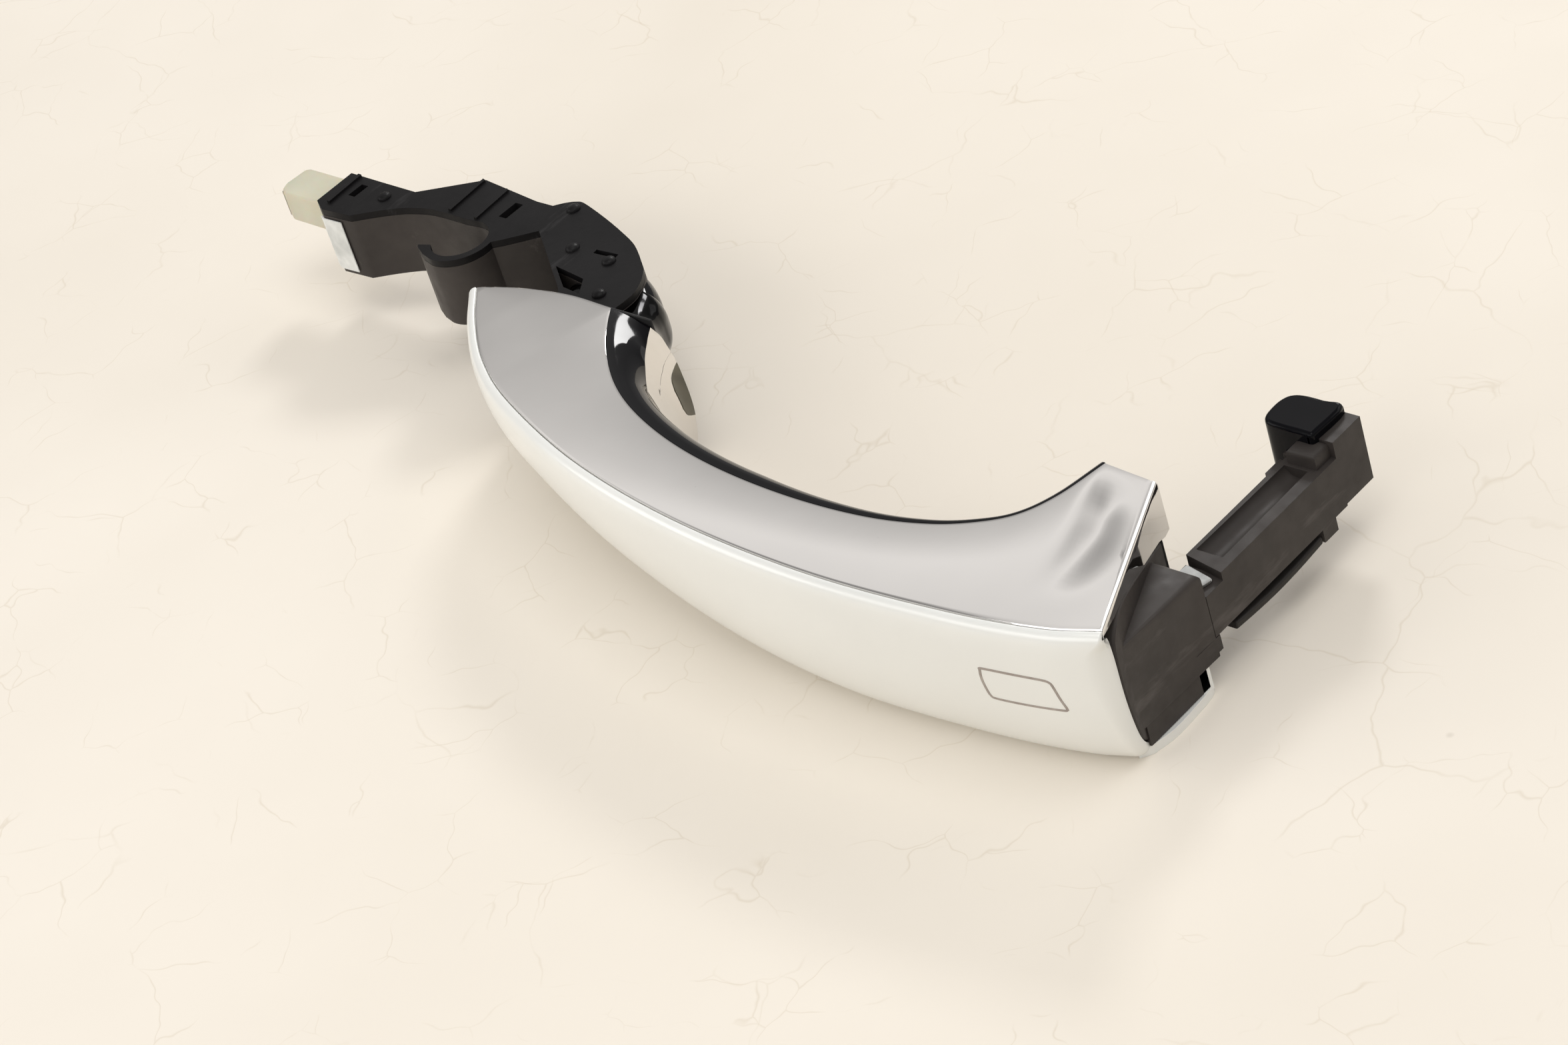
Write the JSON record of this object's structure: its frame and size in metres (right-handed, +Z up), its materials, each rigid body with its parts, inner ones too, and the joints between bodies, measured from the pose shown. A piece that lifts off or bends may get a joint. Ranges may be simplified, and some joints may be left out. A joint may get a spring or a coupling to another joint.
{
  "type": "car door handle",
  "caption": "Exterior car door handle: curved painted grip with bright trims, a front pivot gooseneck with a C-shaped seat and connector, and a rear pull arm with a hook.",
  "frame": {"origin": "centre of the front pivot seat", "axes": "+X back along the grip, +Y into the door, +Z up, square to the flat top trim"},
  "size_m": [0.3441, 0.1053, 0.041],
  "materials": {
    "painted_shell": "pearl silver-white gloss paint over plastic",
    "bright_trim": "mirror chrome plating",
    "gloss_black": "piano black gloss",
    "black_plastic": "moulded glass-filled black plastic",
    "cover_plastic": "fine textured black plastic",
    "spring_plastic": "satin black plastic",
    "black_rubber": "soft black rubber",
    "natural_plastic": "unpigmented translucent plastic",
    "contact_brass": "plain",
    "white_foam": "white closed-cell foam",
    "light_lens": "smoky clear light guide",
    "circuit_board": "green solder mask",
    "chip_plastic": "moulded chip cases",
    "copper": "copper foil and enamelled wire",
    "ferrite": "sintered grey ferrite",
    "wire_jacket": "wire insulation",
    "screw_steel": "zinc plated",
    "mark_line": "fine recessed outline",
    "label": "plain white paper label"
  },
  "bodies": {
    "handle": {"outer_shell": "painted_shell", "top_trim": "bright_trim", "lower_trim": "bright_trim", "grip_lining": "gloss_black", "grip_core": "black_plastic", "end_cap": "black_plastic", "pull_arm": "black_plastic", "hook_nose": "gloss_black", "arm_root_pad": "white_foam", "gooseneck": "black_plastic", "gooseneck_cover": "cover_plastic", "heat_stakes": "cover_plastic", "connector_shell": "natural_plastic", "connector_pins": "contact_brass", "neck_collar": "gloss_black", "collar_ring": "bright_trim", "front_gasket": "black_rubber", "rear_gasket": "black_rubber", "light_lens": "light_lens", "light_board": "circuit_board", "light_leds": "chip_plastic", "sensor_board": "circuit_board", "board_chips": "chip_plastic", "lock_electrode": "copper", "unlock_electrode": "copper", "ferrite_rod": "ferrite", "antenna_coil": "copper", "lead_wires": "wire_jacket", "carrier_screws": "screw_steel", "sensor_mark": "mark_line", "label_sticker": "label"},
    "rattle_spring": {"anti_rattle_spring": "spring_plastic"}
  },
  "joints": [
    {"name": "anti_rattle_flex", "type": "hinge", "parent": "handle", "child": "rattle_spring", "pos_m": [0.2597, 0.0055, -0.0123], "axis": [-1, 0, 0], "range_deg": [0, 1.8], "stiffness_Nm_per_rad": 0.05}
  ]
}
